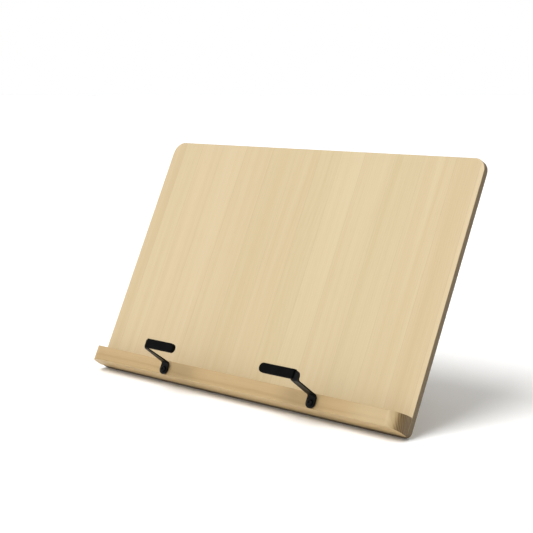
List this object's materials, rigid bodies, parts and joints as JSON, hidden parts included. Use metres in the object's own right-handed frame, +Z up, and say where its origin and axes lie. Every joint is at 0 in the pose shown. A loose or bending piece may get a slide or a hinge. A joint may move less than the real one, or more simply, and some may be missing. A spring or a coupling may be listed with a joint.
{
  "type": "book stand",
  "caption": "Folding wooden book stand with a low ledge, swinging page clips and a hinged rear leg frame held by a wire stay.",
  "frame": {"origin": "on the surface the stand stands on, under the middle of its outline", "axes": "+X to the reader's right, -Y toward the reader, +Z up"},
  "size_m": [0.38, 0.1814, 0.2228],
  "materials": {
    "panel_wood": "clear satin lacquer, grain running up the panel",
    "ledge_wood": "clear satin lacquer, grain running along the ledge",
    "rear_wood": "clear satin lacquer",
    "black_steel": "black satin coating",
    "zinc_steel": "zinc plated, satin",
    "black_rubber": "matte",
    "black_nylon": "matte"
  },
  "bodies": {
    "board": {"back_panel": "panel_wood", "ledge": "ledge_wood", "ledge_screw_1": "zinc_steel", "ledge_screw_2": "zinc_steel", "ledge_screw_3": "zinc_steel", "hinge_batten": "rear_wood", "left_hinge_batten_leaf": "zinc_steel", "left_hinge_pin": "zinc_steel", "left_batten_leaf_screw_1": "zinc_steel", "left_batten_leaf_screw_2": "zinc_steel", "left_stay_bracket": "zinc_steel", "left_bracket_screw_1": "zinc_steel", "left_bracket_screw_2": "zinc_steel", "left_clip_washer": "black_nylon", "left_clip_screw": "black_steel", "right_hinge_batten_leaf": "zinc_steel", "right_hinge_pin": "zinc_steel", "right_batten_leaf_screw_1": "zinc_steel", "right_batten_leaf_screw_2": "zinc_steel", "right_stay_bracket": "zinc_steel", "right_bracket_screw_1": "zinc_steel", "right_bracket_screw_2": "zinc_steel", "right_clip_washer": "black_nylon", "right_clip_screw": "black_steel"},
    "leg": {"leg_top_rail": "rear_wood", "leg_bottom_rail": "rear_wood", "left_leg_stile": "rear_wood", "left_foot_pad": "black_rubber", "left_top_dowel": "rear_wood", "left_bottom_dowel": "rear_wood", "left_hinge_leg_leaf": "zinc_steel", "left_leg_leaf_screw_1": "zinc_steel", "left_leg_leaf_screw_2": "zinc_steel", "right_leg_stile": "rear_wood", "right_foot_pad": "black_rubber", "right_top_dowel": "rear_wood", "right_bottom_dowel": "rear_wood", "right_hinge_leg_leaf": "zinc_steel", "right_leg_leaf_screw_1": "zinc_steel", "right_leg_leaf_screw_2": "zinc_steel"},
    "stay": {"wire_stay": "black_steel"},
    "left_clip": {"left_clip_strip": "black_steel", "left_clip_sleeve": "black_rubber"},
    "right_clip": {"right_clip_strip": "black_steel", "right_clip_sleeve": "black_rubber"}
  },
  "joints": [
    {"name": "leg_fold", "type": "hinge", "parent": "board", "child": "leg", "pos_m": [0, 0.03963, 0.14398], "axis": [-1, 0, 0], "range_deg": [0, 48]},
    {"name": "stay_swing", "type": "hinge", "parent": "board", "child": "stay", "pos_m": [0, 0.00677, 0.08214], "axis": [-1, 0, 0], "range_deg": [0, 96]},
    {"name": "left_clip_swing", "type": "hinge", "parent": "board", "child": "left_clip", "pos_m": [-0.081, -0.06797, 0.01866], "axis": [0, -0.8961, 0.4439], "range_deg": [-25, 180]},
    {"name": "right_clip_swing", "type": "hinge", "parent": "board", "child": "right_clip", "pos_m": [0.1004, -0.06797, 0.01866], "axis": [0, -0.8961, 0.4439], "range_deg": [-180, 25]}
  ],
  "couplings": [
    {"joint": "stay_swing", "follows": "leg_fold", "ratio": 2}
  ]
}
